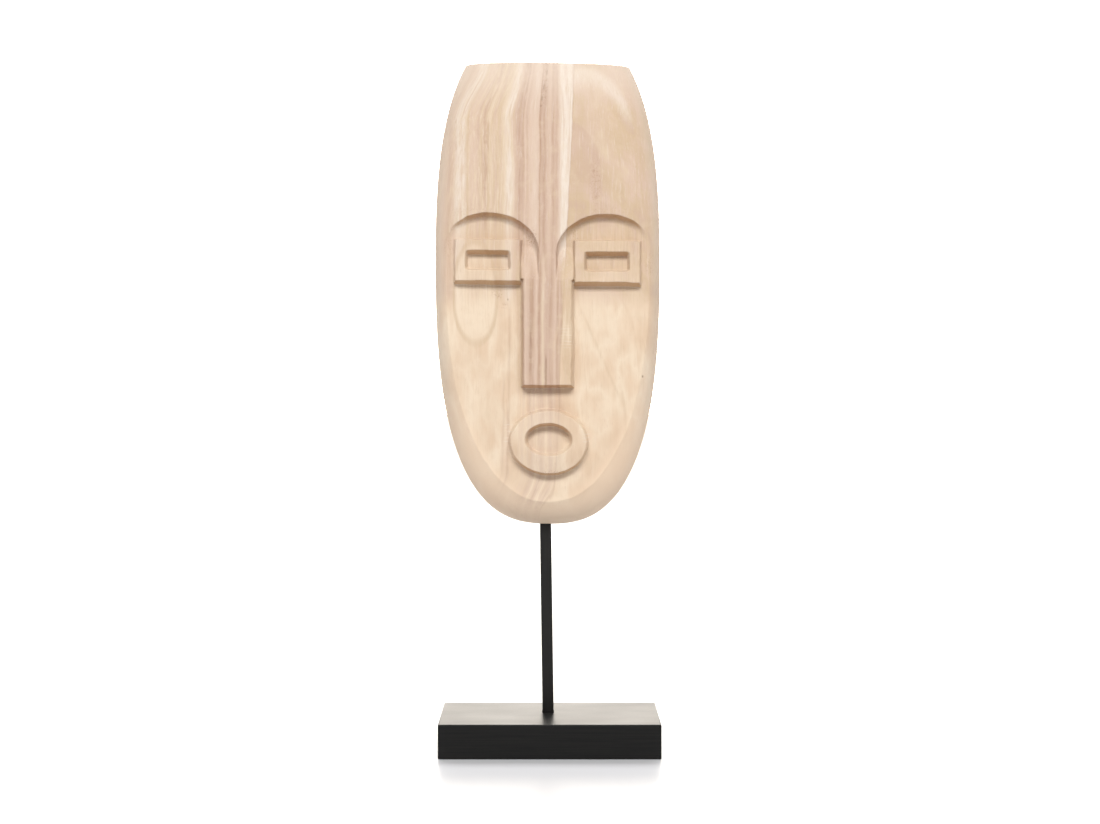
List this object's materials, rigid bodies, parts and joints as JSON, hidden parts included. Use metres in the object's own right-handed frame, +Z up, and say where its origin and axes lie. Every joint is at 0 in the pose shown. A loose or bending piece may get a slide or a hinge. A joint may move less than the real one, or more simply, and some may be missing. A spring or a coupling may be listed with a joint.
{
  "type": "carved wooden mask on stand",
  "caption": "Long oval carved wooden mask with arched eye sockets, slotted eye blocks, a bar nose and a ring mouth, on a square rod in a black block base.",
  "frame": {"origin": "centre of the base's underside", "axes": "+Z up from the base to the mask's top, -Y out of the mask's face, +X to the right of someone who looks at the face"},
  "size_m": [0.1972, 0.096, 0.6022],
  "materials": {
    "mask_wood": "bare sanded pale wood, glued up from boards with upright grain",
    "rod_paint": "satin black paint on steel bar",
    "base_lacquer": "smooth satin black lacquer"
  },
  "bodies": {
    "root": {"mask": "mask_wood", "rod": "rod_paint", "base": "base_lacquer"}
  },
  "joints": []
}
